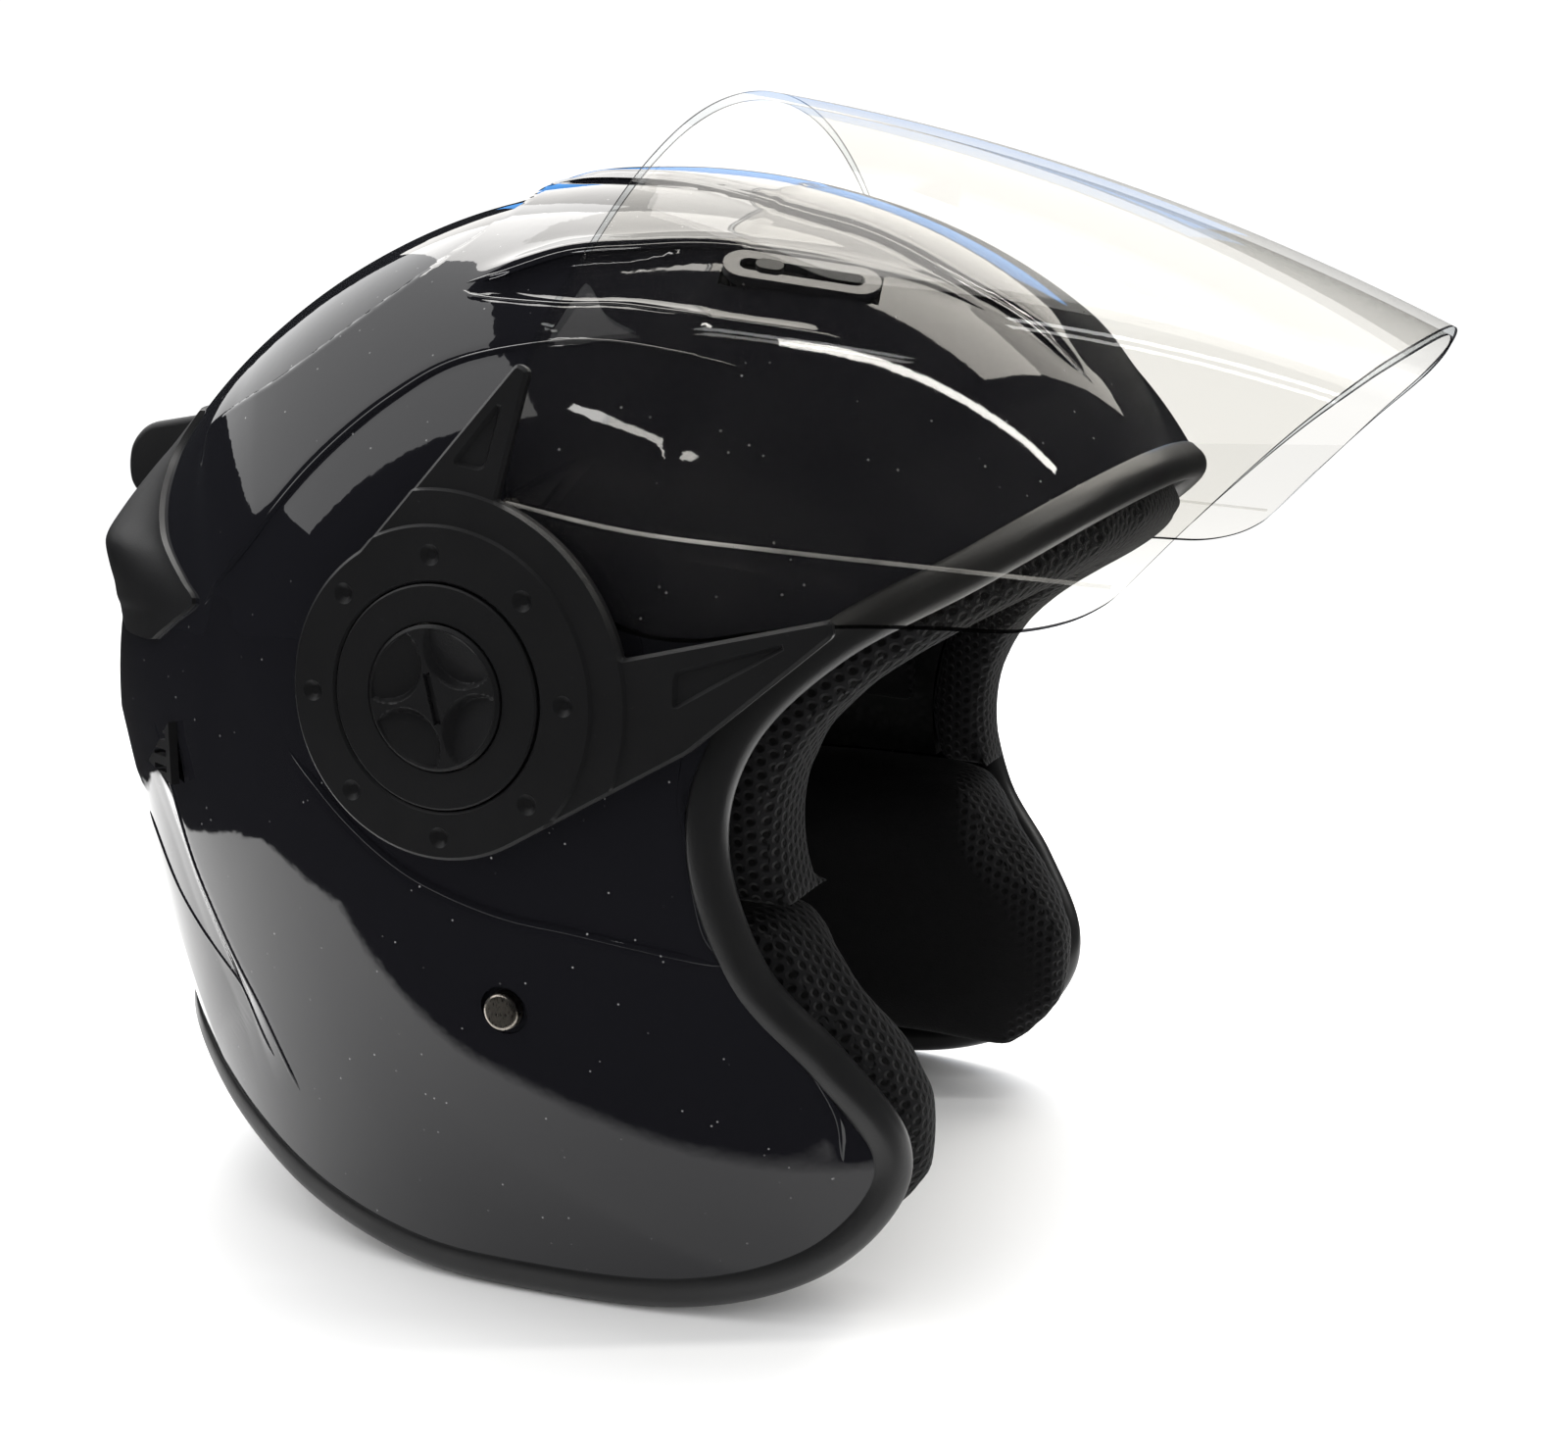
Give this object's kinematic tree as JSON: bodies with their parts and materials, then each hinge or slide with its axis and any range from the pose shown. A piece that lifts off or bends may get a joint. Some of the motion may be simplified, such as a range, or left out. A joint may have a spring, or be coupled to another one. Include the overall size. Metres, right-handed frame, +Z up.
{
  "type": "motorcycle helmet",
  "caption": "Open-face helmet with a glossy shell, a long clear flip-up visor on side pivots, a tail spoiler, sliding brow vents, a padded liner and a ratchet chin strap",
  "frame": {"origin": "floor level under the centre of the overall box, visor in its raised rest pose", "axes": "+Z up, -Y is the wearer's forward direction, +X is the wearer's left"},
  "size_m": [0.2448, 0.3434, 0.272],
  "materials": {
    "shell_gloss": "high gloss black",
    "rubber_trim": "satin black",
    "foam_liner": "dark expanded foam",
    "comfort_fabric": "black knitted lining",
    "mesh_fabric": "black spacer mesh",
    "matte_black": "satin moulded black",
    "clear_visor": "clear polycarbonate",
    "webbing": "woven strap",
    "steel": "plated steel",
    "washer_nylon": "natural nylon"
  },
  "bodies": {
    "shell": {"outer_shell": "shell_gloss", "edge_trim": "rubber_trim", "eps_liner": "foam_liner", "crown_pad": "comfort_fabric", "brow_pad": "mesh_fabric", "cheek_pad_left": "mesh_fabric", "cheek_pad_right": "mesh_fabric", "neck_roll": "comfort_fabric", "rear_spoiler": "matte_black", "exhaust_grille_left": "matte_black", "exhaust_grille_right": "matte_black", "vent_frame_left": "shell_gloss", "vent_frame_right": "shell_gloss", "pivot_base_left": "matte_black", "pivot_base_right": "matte_black", "friction_washers": "washer_nylon", "pivot_screws": "steel", "pivot_nuts": "steel", "cheek_pad_snaps": "washer_nylon", "strap_left": "webbing", "strap_right": "webbing", "strap_rivets": "steel", "strap_anchors": "steel", "buckle_housing": "matte_black", "buckle_pin": "steel", "buckle_tongue": "matte_black"},
    "visor": {"visor": "clear_visor", "side_plate_left": "matte_black", "side_plate_right": "matte_black", "pivot_ring_left": "matte_black", "pivot_ring_right": "matte_black", "side_plate_rivets": "steel"},
    "knob_left": {"knob_left": "matte_black"},
    "knob_right": {"knob_right": "matte_black"},
    "vent_slider_left": {"vent_slider_left": "matte_black"},
    "vent_slider_right": {"vent_slider_right": "matte_black"},
    "buckle_lever": {"buckle_lever": "steel"}
  },
  "joints": [
    {"name": "visor_hinge", "type": "hinge", "parent": "shell", "child": "visor", "pos_m": [0, 0.0157, 0.141], "axis": [1, 0, 0], "range_deg": [-20, 34]},
    {"name": "knob_left_turn", "type": "hinge", "parent": "shell", "child": "knob_left", "pos_m": [0.12, 0.0157, 0.141], "axis": [1, 0, 0], "range_deg": [0, 90]},
    {"name": "knob_right_turn", "type": "hinge", "parent": "shell", "child": "knob_right", "pos_m": [-0.12, 0.0157, 0.141], "axis": [-1, 0, 0], "range_deg": [0, 90]},
    {"name": "vent_left_slide", "type": "slide", "parent": "shell", "child": "vent_slider_left", "axis": [-0.277, -0.9488, -0.152], "range_m": [0, 0.014]},
    {"name": "vent_right_slide", "type": "slide", "parent": "shell", "child": "vent_slider_right", "axis": [0.277, -0.9488, -0.152], "range_m": [0, 0.014]},
    {"name": "buckle_lever_lift", "type": "hinge", "parent": "shell", "child": "buckle_lever", "pos_m": [-0.005, 0.0087, 0.0114], "axis": [0, -1, 0], "range_deg": [0, 35], "stiffness_Nm_per_rad": 0.02, "springref_deg": -17.19}
  ]
}
